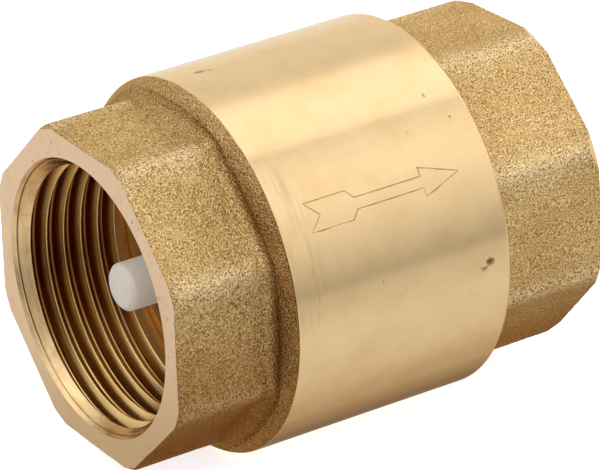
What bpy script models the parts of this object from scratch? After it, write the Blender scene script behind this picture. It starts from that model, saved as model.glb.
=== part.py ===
"""Spring check valve for a 3/4 inch pipe line: two brass halves around a spring-loaded plastic poppet.

Metres, +Z up. The flow axis is +X, and the origin is the centre of the inlet's end face.
Profiles are lists of (distance along the flow axis, radius).
"""

import math

import bmesh
import bpy
from mathutils import Matrix, Vector

# The pipe thread, G 3/4: 14 threads an inch. The bores are at its pitch radius.
THREAD_MAJOR_RADIUS = 0.01322
THREAD_PITCH_RADIUS = 0.01264

# The outside of the two brass halves.
LENGTH = 0.0460
ACROSS_FLATS = 0.0300
CORNER_RADIUS = 0.0016
BARREL_RADIUS = 0.0177
SHOULDER_START = 0.0086
BARREL_START = 0.01105
BARREL_END = 0.0340
CORNER_CHAMFER_RADIUS = 0.0155
CAP_ROLL = math.radians(-3.7)

# Everything that touches on the real valve keeps this gap.
GAP = 0.0003

# Seat, chamber and the screwed joint between the halves.
INLET_SOCKET_END = 0.0140
SEAT_BORE_RADIUS = 0.0090
SEAT_RIDGE_RADIUS = 0.0102
CHAMBER_START = 0.0160
SEAT_FACE = 0.0171
CHAMBER_RADIUS = 0.0149
JOINT_THREAD_START = 0.0255
JOINT_THREAD_RADIUS = 0.0158
SPIGOT_START = 0.0263
SPIGOT_RADIUS = JOINT_THREAD_RADIUS - GAP
SPIGOT_BORE_RADIUS = 0.0130
CAP_LEDGE = 0.0333
CAP_THROAT_RADIUS = 0.0108
OUTLET_SOCKET_START = 0.0348

# Poppet, its seal and the two guides that carry its stem.
TRAVEL = 0.0047
STEM_RADIUS = 0.00225
STEM_TIP = 0.0034
STEM_END = 0.0326
STEM_TIP_CHAMFER = 0.0005
SEAL_FACE = SEAT_FACE + GAP
SEAL_THICKNESS = 0.0016
SEAL_RADIUS = 0.0116
PLATE_FACE = SEAL_FACE + SEAL_THICKNESS + GAP
PLATE_BACK = PLATE_FACE + 0.0013
PLATE_RADIUS = 0.0122
FRONT_BOSS_RADIUS = 0.0044
REAR_BOSS_RADIUS = 0.0036
REAR_BOSS_END = 0.0230
RETAINER_RADIUS = 0.0084
RETAINER_FACE = 0.0157
GUIDE_BORE_RADIUS = STEM_RADIUS + GAP
GUIDE_HUB_RADIUS = 0.0038
SPOKE_WIDTH = 0.0018
INLET_SPOKES = 3
OUTLET_SPOKES = 4
OUTLET_HUB_START = REAR_BOSS_END + TRAVEL + GAP

# Spring between the poppet's plate and the outlet guide.
SPRING_START = PLATE_BACK + GAP
SPRING_END = 0.0303
SPRING_WIRE_RADIUS = 0.0003
SPRING_COIL_RADIUS = 0.0050
SPRING_TURNS = 5.5
SPRING_CLOSED_TURNS = 1.0

O_RING_RADIUS = 0.01495
O_RING_SECTION_RADIUS = 0.0006
O_RING_CENTRE = 0.0325
O_RING_GROOVE_RADIUS = 0.0141
O_RING_GROOVE_HALF_WIDTH = 0.0009

STEPS_LARGE = 48
STEPS_SMALL = 32
ALONG_X = (0.0, math.pi / 2, 0.0)

BRASS = ("brass", (0.72, 0.50, 0.24), 0.38, 1.0)
WHITE_PLASTIC = ("white_acetal", (0.86, 0.85, 0.82), 0.45, 0.0)
RUBBER = ("nitrile_rubber", (0.03, 0.03, 0.03), 0.7, 0.0)
STEEL = ("stainless_spring_steel", (0.62, 0.62, 0.61), 0.25, 1.0)


def clear_scene():
    for obj in list(bpy.data.objects):
        bpy.data.objects.remove(obj, do_unlink=True)


def collection(name):
    made = bpy.data.collections.new(name)
    bpy.context.scene.collection.children.link(made)
    return made


def material(recipe):
    name, colour, roughness, metallic = recipe
    made = bpy.data.materials.get(name)
    if made is None:
        made = bpy.data.materials.new(name)
        made.use_nodes = True
        shader = made.node_tree.nodes["Principled BSDF"]
        shader.inputs["Base Color"].default_value = (*colour, 1.0)
        shader.inputs["Roughness"].default_value = roughness
        shader.inputs["Metallic"].default_value = metallic
    return made


def new_object(name, mesh, recipe=None):
    """An object of the valve, or a cutter when it has no material."""
    obj = bpy.data.objects.new(name, mesh)
    if recipe is None:
        cutters.objects.link(obj)
        obj.hide_render = True
        obj.display_type = "WIRE"
    else:
        valve.objects.link(obj)
        mesh.materials.append(material(recipe))
    return obj


def counterclockwise(profile):
    """The profile in the order that makes Screw's faces point out."""
    area = sum(x0 * r1 - x1 * r0 for (x0, r0), (x1, r1) in zip(profile, profile[1:] + profile[:1]))
    return profile if area > 0 else profile[::-1]


def turned(name, profile, recipe=None, steps=STEPS_LARGE):
    """A solid of revolution about the flow axis. Its profile closes on itself, or along the axis."""
    points = [(r, x) for x, r in counterclockwise(profile)]
    verts = [(r, 0.0, x) for r, x in points]
    count = len(points)
    edges = [
        (i, (i + 1) % count)
        for i in range(count)
        if points[i][0] > 0 or points[(i + 1) % count][0] > 0
    ]
    mesh = bpy.data.meshes.new(name)
    mesh.from_pydata(verts, edges, [])
    obj = new_object(name, mesh, recipe)
    obj.rotation_euler = ALONG_X
    screw = obj.modifiers.new("turn", "SCREW")
    screw.axis = "Z"
    screw.steps = steps
    screw.render_steps = steps
    screw.use_merge_vertices = True
    screw.merge_threshold = 0.00001
    return obj


def boolean(obj, other, operation):
    made = obj.modifiers.new(f"{operation.lower()}_{other.name}", "BOOLEAN")
    made.operation = operation
    made.object = other
    made.solver = "EXACT"


def octagon_bar(name, start, end, roll):
    """An eight-sided bar with rounded ridges, one flat facing up when roll is 0."""
    corner = ACROSS_FLATS / 2 / math.cos(math.pi / 8)
    shape = bmesh.new()
    bmesh.ops.create_cone(
        shape, cap_ends=True, segments=8, radius1=corner, radius2=corner, depth=end - start
    )
    turn = math.pi / 8 + roll
    bmesh.ops.rotate(shape, verts=shape.verts, matrix=Matrix.Rotation(turn, 3, "Z"))
    ridges = [e for e in shape.edges if abs(e.verts[0].co.z - e.verts[1].co.z) > 0.5 * (end - start)]
    bmesh.ops.bevel(
        shape,
        geom=ridges,
        offset=CORNER_RADIUS * math.tan(math.pi / 8),
        segments=3,
        profile=0.5,
        affect="EDGES",
    )
    mesh = bpy.data.meshes.new(name)
    shape.to_mesh(mesh)
    shape.free()
    obj = new_object(name, mesh)
    obj.rotation_euler = ALONG_X
    obj.location = ((start + end) / 2, 0.0, 0.0)
    return obj


def corner_envelope(name, face, inner_end):
    """The turned shape that chamfers an octagon's corners at its end face."""
    way = 1.0 if inner_end > face else -1.0
    reach = BARREL_RADIUS - CORNER_CHAMFER_RADIUS
    return turned(
        name,
        [
            (face - way * 0.001, 0.0),
            (face - way * 0.001, CORNER_CHAMFER_RADIUS - 0.001),
            (face + way * reach, BARREL_RADIUS),
            (inner_end, BARREL_RADIUS),
            (inner_end, 0.0),
        ],
    )


def make_inlet_body():
    """The inlet half: octagon, shoulder, barrel, inlet socket, seat and chamber."""
    body = turned(
        "inlet_body",
        [
            (SHOULDER_START, 0.0),
            (SHOULDER_START, 0.0146),
            (0.0093, 0.01505),
            (0.0098, 0.0156),
            (0.0105, 0.0169),
            (BARREL_START, 0.0175),
            (BARREL_START + 0.0002, BARREL_RADIUS),
            (BARREL_END - 0.0004, BARREL_RADIUS),
            (BARREL_END, BARREL_RADIUS - 0.0004),
            (BARREL_END, 0.0),
        ],
        BRASS,
    )
    octagon = octagon_bar("inlet_octagon", 0.0, BARREL_START, 0.0)
    boolean(octagon, corner_envelope("inlet_corner_envelope", 0.0, BARREL_START), "INTERSECT")
    boolean(body, octagon, "UNION")
    bore = turned(
        "inlet_body_bore",
        [
            (-0.0010, 0.0),
            (-0.0010, THREAD_MAJOR_RADIUS + 0.0011),
            (THREAD_MAJOR_RADIUS - THREAD_PITCH_RADIUS + 0.0001, THREAD_PITCH_RADIUS),
            (INLET_SOCKET_END, THREAD_PITCH_RADIUS),
            (INLET_SOCKET_END, SEAT_BORE_RADIUS),
            (SEAT_FACE, SEAT_BORE_RADIUS),
            (SEAT_FACE, SEAT_RIDGE_RADIUS),
            (CHAMBER_START, SEAT_RIDGE_RADIUS + 0.0006),
            (CHAMBER_START, CHAMBER_RADIUS),
            (JOINT_THREAD_START, CHAMBER_RADIUS),
            (JOINT_THREAD_START, JOINT_THREAD_RADIUS),
            (BARREL_END + 0.001, JOINT_THREAD_RADIUS),
            (BARREL_END + 0.001, 0.0),
        ],
    )
    boolean(body, bore, "DIFFERENCE")


def make_outlet_cap():
    """The outlet half: an octagon with the outlet socket, on a spigot that screws into the barrel."""
    face = BARREL_END + GAP
    cap = turned(
        "outlet_cap",
        [
            (SPIGOT_START, SPIGOT_BORE_RADIUS),
            (SPIGOT_START, SPIGOT_RADIUS - 0.0005),
            (SPIGOT_START + 0.0005, SPIGOT_RADIUS),
            (O_RING_CENTRE - O_RING_GROOVE_HALF_WIDTH, SPIGOT_RADIUS),
            (O_RING_CENTRE - O_RING_GROOVE_HALF_WIDTH, O_RING_GROOVE_RADIUS),
            (O_RING_CENTRE + O_RING_GROOVE_HALF_WIDTH, O_RING_GROOVE_RADIUS),
            (O_RING_CENTRE + O_RING_GROOVE_HALF_WIDTH, SPIGOT_RADIUS),
            (face, SPIGOT_RADIUS),
            (face, ACROSS_FLATS / 2 - 0.0002),
            (face + 0.002, ACROSS_FLATS / 2 - 0.0002),
            (face + 0.002, CAP_THROAT_RADIUS),
            (CAP_LEDGE, CAP_THROAT_RADIUS),
            (CAP_LEDGE, SPIGOT_BORE_RADIUS),
        ],
        BRASS,
    )
    octagon = octagon_bar("outlet_octagon", face, LENGTH, CAP_ROLL)
    boolean(octagon, corner_envelope("outlet_corner_envelope", LENGTH, face - 0.001), "INTERSECT")
    boolean(cap, octagon, "UNION")
    bore = turned(
        "outlet_cap_bore",
        [
            (CAP_LEDGE - 0.001, 0.0),
            (CAP_LEDGE - 0.001, CAP_THROAT_RADIUS),
            (OUTLET_SOCKET_START, CAP_THROAT_RADIUS),
            (OUTLET_SOCKET_START, THREAD_PITCH_RADIUS),
            (LENGTH - THREAD_MAJOR_RADIUS + THREAD_PITCH_RADIUS - 0.0001, THREAD_PITCH_RADIUS),
            (LENGTH + 0.0010, THREAD_MAJOR_RADIUS + 0.0011),
            (LENGTH + 0.0010, 0.0),
        ],
    )
    boolean(cap, bore, "DIFFERENCE")


def spoke(name, angle, inner, outer, start, end):
    """A bar from the hub out to the rim, in the plane that holds the axis."""
    bpy.ops.mesh.primitive_cube_add(size=1.0)
    bar = bpy.context.active_object
    bar.name = name
    bar.data.transform(Matrix.Diagonal((end - start, outer - inner, SPOKE_WIDTH, 1.0)))
    bar.data.transform(Matrix.Translation((0.0, (inner + outer) / 2, 0.0)))
    bar.location = ((start + end) / 2, 0.0, 0.0)
    bar.rotation_euler = (angle, 0.0, 0.0)
    for home in list(bar.users_collection):
        home.objects.unlink(bar)
    cutters.objects.link(bar)
    bar.hide_render = True
    bar.display_type = "WIRE"
    return bar


def make_guide(name, rim, hub, spokes, spoke_span, first_angle, steps):
    """A plastic spider: a rim, a hub that carries the stem, and spokes between them."""
    guide = turned(name, rim, WHITE_PLASTIC, steps)
    boolean(guide, turned(f"{name}_hub", hub, None, STEPS_SMALL), "UNION")
    inner, outer, start, end = spoke_span
    for i in range(spokes):
        angle = first_angle + 2 * math.pi * i / spokes
        boolean(guide, spoke(f"{name}_spoke_{i}", angle, inner, outer, start, end), "UNION")


def make_inlet_guide():
    flange_face = INLET_SOCKET_END - GAP - 0.0010
    flange_back = INLET_SOCKET_END - GAP
    rim_outside = SEAT_BORE_RADIUS - GAP
    rim_inside = 0.0076
    make_guide(
        "inlet_guide",
        [
            (flange_face, rim_inside),
            (flange_face, 0.0110),
            (flange_back, 0.0110),
            (flange_back, rim_outside),
            (0.0153, rim_outside),
            (0.0153, rim_inside),
        ],
        [
            (0.0112, GUIDE_BORE_RADIUS),
            (0.0112, GUIDE_HUB_RADIUS - 0.0004),
            (0.0116, GUIDE_HUB_RADIUS),
            (0.0152, GUIDE_HUB_RADIUS),
            (0.0152, GUIDE_BORE_RADIUS),
        ],
        INLET_SPOKES,
        (GUIDE_HUB_RADIUS - 0.0004, rim_inside + 0.0004, flange_face + 0.0002, 0.0150),
        math.pi / 2,
        STEPS_SMALL,
    )


def make_outlet_guide():
    rim_outside = SPIGOT_BORE_RADIUS - GAP
    rim_inside = 0.0112
    rim_face = SPRING_END + GAP
    rim_back = CAP_LEDGE - GAP
    make_guide(
        "outlet_guide",
        [
            (rim_face, rim_inside),
            (rim_face, rim_outside - 0.0003),
            (rim_face + 0.0003, rim_outside),
            (rim_back, rim_outside),
            (rim_back, rim_inside),
        ],
        [
            (OUTLET_HUB_START, GUIDE_BORE_RADIUS),
            (OUTLET_HUB_START, GUIDE_HUB_RADIUS - 0.0004),
            (OUTLET_HUB_START + 0.0004, GUIDE_HUB_RADIUS),
            (rim_face, GUIDE_HUB_RADIUS),
            (rim_face, 0.0068),
            (rim_face + 0.0010, 0.0068),
            (rim_face + 0.0014, GUIDE_HUB_RADIUS + 0.0004),
            (0.0336, GUIDE_HUB_RADIUS),
            (0.0336, GUIDE_BORE_RADIUS),
        ],
        OUTLET_SPOKES,
        (GUIDE_HUB_RADIUS - 0.0004, rim_inside + 0.0004, rim_face + 0.0002, rim_back - 0.0002),
        math.pi / 4,
        STEPS_LARGE,
    )


def make_poppet():
    return turned(
        "poppet",
        [
            (STEM_TIP, 0.0),
            (STEM_TIP, STEM_RADIUS - STEM_TIP_CHAMFER),
            (STEM_TIP + STEM_TIP_CHAMFER, STEM_RADIUS),
            (RETAINER_FACE + 0.0011, STEM_RADIUS),
            (RETAINER_FACE + 0.0011, FRONT_BOSS_RADIUS),
            (PLATE_FACE, FRONT_BOSS_RADIUS),
            (PLATE_FACE, PLATE_RADIUS),
            (PLATE_BACK - 0.0005, PLATE_RADIUS),
            (PLATE_BACK, PLATE_RADIUS - 0.0005),
            (PLATE_BACK, REAR_BOSS_RADIUS),
            (REAR_BOSS_END, REAR_BOSS_RADIUS - 0.0003),
            (REAR_BOSS_END, STEM_RADIUS),
            (STEM_END - STEM_TIP_CHAMFER, STEM_RADIUS),
            (STEM_END, STEM_RADIUS - STEM_TIP_CHAMFER),
            (STEM_END, 0.0),
        ],
        WHITE_PLASTIC,
        STEPS_SMALL,
    )


def make_seal_ring():
    inner = FRONT_BOSS_RADIUS + GAP
    return turned(
        "seal_ring",
        [
            (SEAL_FACE, inner),
            (SEAL_FACE, SEAL_RADIUS - 0.0003),
            (SEAL_FACE + 0.0003, SEAL_RADIUS),
            (SEAL_FACE + SEAL_THICKNESS, SEAL_RADIUS),
            (SEAL_FACE + SEAL_THICKNESS, inner),
        ],
        RUBBER,
        STEPS_SMALL,
    )


def make_seal_retainer():
    """The washer that snaps over the poppet's front boss and clamps the seal."""
    back = SEAL_FACE - GAP
    step = RETAINER_FACE + 0.0008
    return turned(
        "seal_retainer",
        [
            (RETAINER_FACE, GUIDE_BORE_RADIUS),
            (RETAINER_FACE, RETAINER_RADIUS - 0.0006),
            (RETAINER_FACE + 0.0006, RETAINER_RADIUS),
            (back, RETAINER_RADIUS),
            (back, FRONT_BOSS_RADIUS + GAP),
            (step, FRONT_BOSS_RADIUS + GAP),
            (step, GUIDE_BORE_RADIUS),
        ],
        WHITE_PLASTIC,
        STEPS_SMALL,
    )


def coil_height(turn):
    """Height of the wire's centre after so many turns: each end turn lies closed, the rest are open."""
    closed_rise = 2 * SPRING_WIRE_RADIUS + 0.00012
    bottom = SPRING_START + SPRING_WIRE_RADIUS
    top = SPRING_END - SPRING_WIRE_RADIUS
    open_turns = SPRING_TURNS - 2 * SPRING_CLOSED_TURNS
    open_rise = (top - bottom - 2 * closed_rise * SPRING_CLOSED_TURNS) / open_turns
    if turn < SPRING_CLOSED_TURNS:
        return bottom + closed_rise * turn
    if turn > SPRING_TURNS - SPRING_CLOSED_TURNS:
        return top - closed_rise * (SPRING_TURNS - turn)
    return bottom + closed_rise * SPRING_CLOSED_TURNS + open_rise * (turn - SPRING_CLOSED_TURNS)


def make_spring():
    points_a_turn = 20
    count = int(SPRING_TURNS * points_a_turn) + 1
    curve = bpy.data.curves.new("spring", "CURVE")
    curve.dimensions = "3D"
    curve.bevel_depth = SPRING_WIRE_RADIUS
    curve.bevel_resolution = 2
    curve.use_fill_caps = True
    wire = curve.splines.new("POLY")
    wire.points.add(count - 1)
    for i, point in enumerate(wire.points):
        turn = i / points_a_turn
        angle = 2 * math.pi * turn
        point.co = (
            coil_height(turn),
            SPRING_COIL_RADIUS * math.cos(angle),
            SPRING_COIL_RADIUS * math.sin(angle),
            1.0,
        )
    obj = bpy.data.objects.new("spring", curve)
    valve.objects.link(obj)
    curve.materials.append(material(STEEL))


def make_joint_o_ring():
    bpy.ops.mesh.primitive_torus_add(
        major_radius=O_RING_RADIUS,
        minor_radius=O_RING_SECTION_RADIUS,
        major_segments=STEPS_LARGE,
        minor_segments=10,
    )
    ring = bpy.context.active_object
    ring.name = "joint_o_ring"
    ring.location = (O_RING_CENTRE, 0.0, 0.0)
    ring.rotation_euler = ALONG_X
    ring.data.materials.append(material(RUBBER))
    for home in list(ring.users_collection):
        home.objects.unlink(ring)
    valve.objects.link(ring)


def shade_round_pieces():
    for obj in valve.objects:
        if obj.type == "MESH":
            obj.data.shade_smooth()


clear_scene()
valve = collection("check_valve")
cutters = collection("cutters")
make_inlet_body()
make_outlet_cap()
make_joint_o_ring()
make_inlet_guide()
make_outlet_guide()
make_spring()

slide = bpy.data.objects.new("poppet_slide", None)
slide.location = Vector((STEM_TIP, 0.0, 0.0))
valve.objects.link(slide)
for moving in (make_poppet(), make_seal_ring(), make_seal_retainer()):
    moving.parent = slide
    moving.matrix_parent_inverse.translation = -slide.location
shade_round_pieces()
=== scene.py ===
"""Looks of the spring check valve: a shot-blasted brass casting with turned faces and cut threads.

The CAD model is loaded as a fixed frame: metres, +X along the flow, +Z up, origin in the inlet's end face.
Angles run round the flow axis, from +Y towards +Z.
"""

import math

import bmesh
import bpy
import numpy as np
from mathutils import Matrix, Vector


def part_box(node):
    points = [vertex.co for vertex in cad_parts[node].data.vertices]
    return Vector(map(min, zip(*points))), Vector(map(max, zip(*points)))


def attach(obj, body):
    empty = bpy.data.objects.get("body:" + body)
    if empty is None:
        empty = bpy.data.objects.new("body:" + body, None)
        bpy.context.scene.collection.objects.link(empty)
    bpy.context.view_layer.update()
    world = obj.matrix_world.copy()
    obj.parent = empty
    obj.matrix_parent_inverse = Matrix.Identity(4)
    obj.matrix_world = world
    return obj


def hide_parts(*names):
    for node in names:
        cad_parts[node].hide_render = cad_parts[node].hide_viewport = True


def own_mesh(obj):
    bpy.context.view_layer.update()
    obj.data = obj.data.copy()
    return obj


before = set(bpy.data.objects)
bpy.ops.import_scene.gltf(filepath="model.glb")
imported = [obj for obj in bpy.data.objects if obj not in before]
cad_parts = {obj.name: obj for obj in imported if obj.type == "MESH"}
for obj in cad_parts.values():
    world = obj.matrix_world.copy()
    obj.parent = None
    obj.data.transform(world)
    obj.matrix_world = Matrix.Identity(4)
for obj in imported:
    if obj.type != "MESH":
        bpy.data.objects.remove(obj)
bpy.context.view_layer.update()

MM = 0.001
TURN = 2 * math.pi
BODY = "valve_body"

BARREL_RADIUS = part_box("inlet_body")[1][2]
BARREL_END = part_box("inlet_body")[1][0]
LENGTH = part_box("outlet_cap")[1][0]
FLAT_RADIUS = 15.0 * MM

# Pipe thread G 3/4.
THREAD_PITCH = 25.4 * MM / 14
THREAD_MINOR = 12.06 * MM
THREAD_DEPTH = 1.08 * MM
THREAD_RUN_IN = 1.1 * MM
MOUTH_LINE = 0.42 * MM
MOUTH_LINE_HALF_WIDTH = 0.07 * MM
CREST_ROUNDING = 0.08
ROOT_ROUNDING = 0.30
MOUTH_RADIUS = 13.12 * MM
MOUTH_CONE = 1.56 * MM

# Octagons and the shoulder between the inlet's octagon and the barrel.
CORNER_ROUND = 1.7 * MM
INLET_FACING = 15.74 * MM
OUTLET_FACING = 15.5 * MM
CHAMFER_SLOPE = 1.4
EDGE_BREAK = 0.07 * MM
CAP_ROLL = math.radians(-3.7)
BARREL_START = 11.05 * MM
BARREL_ROUND = 0.4 * MM
SHOULDER_FOOT = 8.4 * MM
SHOULDER_RADIUS = 17.62 * MM
CROWN_LENGTH = 1.1 * MM
CROWN_BEND_START = math.radians(15)
CROWN_BEND_END = math.radians(42)
# Strength of the painted shade on the shoulder.
SHOULDER_PAINTED_SHADE = 0.72
CAST_STEP = 0.12 * MM
RIDGES_FROM = 15.60 * MM
RIDGES_FULL = 16.05 * MM

# The inside of the inlet body: the port, the seat round it and the spring's chamber.
PORT_RADIUS = 9.0 * MM
PORT_START = 14.0 * MM
SEAT = 17.1 * MM
SEAT_RADIUS = 10.2 * MM
SEAT_FOOT = 16.0 * MM
SEAT_FOOT_RADIUS = 10.8 * MM
CHAMBER_RADIUS = 14.9 * MM
CHAMBER_END = 25.5 * MM
JOINT_BORE = 15.8 * MM
JOINT_MOUTH = 15.56 * MM

# The outlet cap's spigot, with its groove for the O-ring, and the passage behind it.
SPIGOT_RADIUS = 15.5 * MM
SPIGOT_START = 26.3 * MM
SPIGOT_BREAK = 0.5 * MM
SPIGOT_BORE = 13.0 * MM
RING_GROOVE_RADIUS = 14.1 * MM
RING_GROOVE_START = 31.6 * MM
RING_GROOVE_END = 33.4 * MM
PASSAGE_START = 33.3 * MM
PASSAGE_RADIUS = 10.8 * MM
O_RING_PLACE = 32.5 * MM
O_RING_RADIUS = 14.95 * MM
O_RING_WIRE = 0.6 * MM

# Seeds of the noise in the cast skins, in the arrow's groove and in the brushed stains.
INLET_SEED = 11
OUTLET_SEED = 37
GROOVE_SEED = 71
BRUSH_SEED = 53

# Points round a hidden or a plain profile, and round a socket.
PROFILE_SIDES = 128
SOCKET_SIDES = 256

NOISE_LATTICE = 32


def smooth_noise(points, size, seed):
    """Noise from -1 to 1 in lumps about `size` wide, at an (n, 3) array of points."""
    table = np.random.default_rng(seed).uniform(-1, 1, (NOISE_LATTICE,) * 3)
    cell = points / size
    base = np.floor(cell).astype(int)
    part = cell - base
    part = part * part * (3 - 2 * part)
    total = np.zeros(len(points))
    for corner in np.ndindex(2, 2, 2):
        weight = np.prod(np.where(corner, part, 1 - part), axis=1)
        i = (base + corner) % NOISE_LATTICE
        total += weight * table[i[:, 0], i[:, 1], i[:, 2]]
    return total


def eased(value, start, end):
    """0 before start, 1 after end and a smooth rise between."""
    share = np.clip((value - start) / (end - start), 0.0, 1.0)
    return share * share * (3 - 2 * share)


class Skin:
    """A closed surface laid ring by ring round the flow axis, joined end to end or closed at two poles."""

    def __init__(self):
        self.rings = []
        self.points = []
        self.dirt_and_painted_shade = []
        self.count = 0

    def lay(self, x, r, angles, slot, crisp=False, dirt_and_painted_shade=0.0):
        """Adds rings, from x and r as (rings, angles) arrays or plain numbers. `slot` is their material."""
        angles = np.asarray(angles, float)
        x = np.atleast_2d(np.asarray(x, float))
        r = np.atleast_2d(np.asarray(r, float))
        shape = (max(len(x), len(r)), len(angles))
        x = np.broadcast_to(x, shape)
        r = np.broadcast_to(r, shape)
        self.dirt_and_painted_shade.append(np.broadcast_to(dirt_and_painted_shade, shape).ravel())
        for i in range(shape[0]):
            self.points.append(np.stack([x[i], r[i] * np.cos(angles), r[i] * np.sin(angles)], axis=1))
            edge_ring = crisp and i == shape[0] - 1
            self.rings.append((self.count, angles, slot, edge_ring))
            self.count += len(angles)

    def turn(self, profile, angles, slot, crisp=True, dirt_and_painted_shade=0.0):
        """Adds one ring for each (x, r) of a turned profile, with a crisp edge at each."""
        for x, r in profile:
            self.lay(x, r, angles, slot, crisp, dirt_and_painted_shade)

    def band(self, first, second):
        """The faces between two rings, which may have different numbers of points."""
        start_a, angles_a, _, _ = first
        start_b, angles_b, _, _ = second
        if len(angles_a) == len(angles_b) and np.allclose(angles_a, angles_b):
            n = len(angles_a)
            here = np.arange(n)
            after = (here + 1) % n
            corners = [start_a + here, start_a + after, start_b + after, start_b + here]
            return np.stack(corners, axis=1).tolist()
        faces = []
        a = b = 0
        n, m = len(angles_a), len(angles_b)
        if n == 1 and m == 1:
            return faces
        wide_a = np.append(angles_a, angles_a[0] + TURN)
        wide_b = np.append(angles_b, angles_b[0] + TURN)
        while a < n or b < m:
            if b == m or (a < n and wide_a[a + 1] <= wide_b[b + 1]):
                faces.append((start_a + a % n, start_a + (a + 1) % n, start_b + b % m))
                a += 1
            else:
                faces.append((start_a + a % n, start_b + (b + 1) % m, start_b + b % m))
                b += 1
        return [face for face in faces if len(set(face)) == 3]

    def build(self, name, materials):
        faces = []
        slots = []
        for first, second in zip(self.rings, self.rings[1:] + self.rings[:1]):
            new = self.band(first, second)
            faces += new
            slots += [materials.index(second[2])] * len(new)
        points = np.concatenate(self.points)
        mesh = bpy.data.meshes.new(name)
        mesh.from_pydata(points.tolist(), [], faces)
        mesh.polygons.foreach_set("material_index", np.array(slots, dtype=np.int32))
        if signed_volume(mesh) < 0:
            mesh.flip_normals()
        mesh.shade_smooth()
        self.sharpen(mesh)
        dirt_and_painted_shade = mesh.attributes.new("dirt_and_painted_shade", "FLOAT", "POINT")
        dirt_and_painted_shade.data.foreach_set("value", np.concatenate(self.dirt_and_painted_shade))
        return add_object(name, mesh, materials)

    def sharpen(self, mesh):
        """Marks the edges that run along crisp rings."""
        ring_of = np.concatenate([np.full(len(ring[1]), i) for i, ring in enumerate(self.rings)])
        crisp = np.array([ring[3] for ring in self.rings])
        ends = np.empty(len(mesh.edges) * 2, dtype=np.int32)
        mesh.edges.foreach_get("vertices", ends)
        first, second = ring_of[ends[0::2]], ring_of[ends[1::2]]
        sharp = mesh.attributes.new("sharp_edge", "BOOLEAN", "EDGE")
        sharp.data.foreach_set("value", (first == second) & crisp[first])


def signed_volume(mesh):
    """Six times the volume, negative where the faces point in."""
    mesh.calc_loop_triangles()
    triangles = np.empty(len(mesh.loop_triangles) * 3, dtype=np.int32)
    mesh.loop_triangles.foreach_get("vertices", triangles)
    corners = np.empty(len(mesh.vertices) * 3)
    mesh.vertices.foreach_get("co", corners)
    a, b, c = corners.reshape(-1, 3)[triangles.reshape(-1, 3)].transpose(1, 0, 2)
    return float(np.einsum("ij,ij->", a, np.cross(b, c)))


def add_object(name, mesh, materials):
    for material in materials:
        mesh.materials.append(material)
    piece = bpy.data.objects.new(name, mesh)
    bpy.context.scene.collection.objects.link(piece)
    return piece


def even_angles(count):
    return np.arange(count) * TURN / count


# ---------------------------------------------------------------- materials


class Wiring:
    """A node tree and short ways to add nodes to it."""

    def __init__(self, tree):
        self.tree = tree

    def feed(self, socket, value):
        """Gives a socket a number, a vector, a colour or another node's output."""
        if isinstance(value, bpy.types.NodeSocket):
            self.tree.links.new(value, socket)
        elif isinstance(value, tuple) and len(socket.default_value) == 4:
            socket.default_value = (*value, 1.0)
        else:
            socket.default_value = value

    def node(self, kind, **inputs):
        """Adds a node and feeds its inputs, with _ for the spaces in their names."""
        made = self.tree.nodes.new(kind)
        for key, value in inputs.items():
            self.feed(made.inputs[key.replace("_", " ")], value)
        return made

    def operate(self, kind, operation, *values):
        """Adds a math node and feeds its inputs in order."""
        made = self.node(kind)
        made.operation = operation
        for socket, value in zip(made.inputs, values):
            self.feed(socket, value)
        return made.outputs["Value"]

    def math(self, operation, *values):
        return self.operate("ShaderNodeMath", operation, *values)

    def length(self, source):
        return self.operate("ShaderNodeVectorMath", "LENGTH", source)

    def dot(self, source, direction):
        return self.operate("ShaderNodeVectorMath", "DOT_PRODUCT", source, direction)

    def split(self, source):
        made = self.node("ShaderNodeSeparateXYZ", Vector=source)
        return made.outputs["X"], made.outputs["Y"], made.outputs["Z"]

    def stretched(self, source, scale):
        """Coordinates scaled per axis, so that noise has lumps of 1 over the scale."""
        return self.node("ShaderNodeMapping", Vector=source, Scale=scale).outputs["Vector"]

    def noise(self, source, scale, detail=2.0, roughness=0.5):
        made = self.node("ShaderNodeTexNoise", Vector=source, Scale=scale, Detail=detail, Roughness=roughness)
        return made.outputs["Fac"]

    def cells(self, source, scale):
        """Distance to the nearest of scattered points, for small pips."""
        return self.node("ShaderNodeTexVoronoi", Vector=source, Scale=scale).outputs["Distance"]

    def ramp(self, source, stops):
        """A colour ramp through stops, each a position with a colour or a grey level."""
        made = self.node("ShaderNodeValToRGB", Fac=source)
        elements = made.color_ramp.elements
        while len(elements) < len(stops):
            elements.new(0.5)
        for element, (position, colour) in zip(elements, stops):
            element.position = position
            element.color = (*np.broadcast_to(colour, 3), 1.0)
        return made.outputs["Color"]

    def mix(self, factor, first, second, blend="MIX"):
        made = self.node("ShaderNodeMix")
        made.data_type = "RGBA"
        made.blend_type = blend
        for key, value in (("Factor", factor), ("A", first), ("B", second)):
            self.feed(made.inputs[key], value)
        return made.outputs["Result"]

    def between(self, source, low, high):
        """Source from low..high taken to 0..1."""
        return self.node("ShaderNodeMapRange", Value=source, From_Min=low, From_Max=high).outputs["Result"]

    def spread(self, source, low, high):
        """Source from 0..1 taken to low..high."""
        return self.node("ShaderNodeMapRange", Value=source, To_Min=low, To_Max=high).outputs["Result"]


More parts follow.
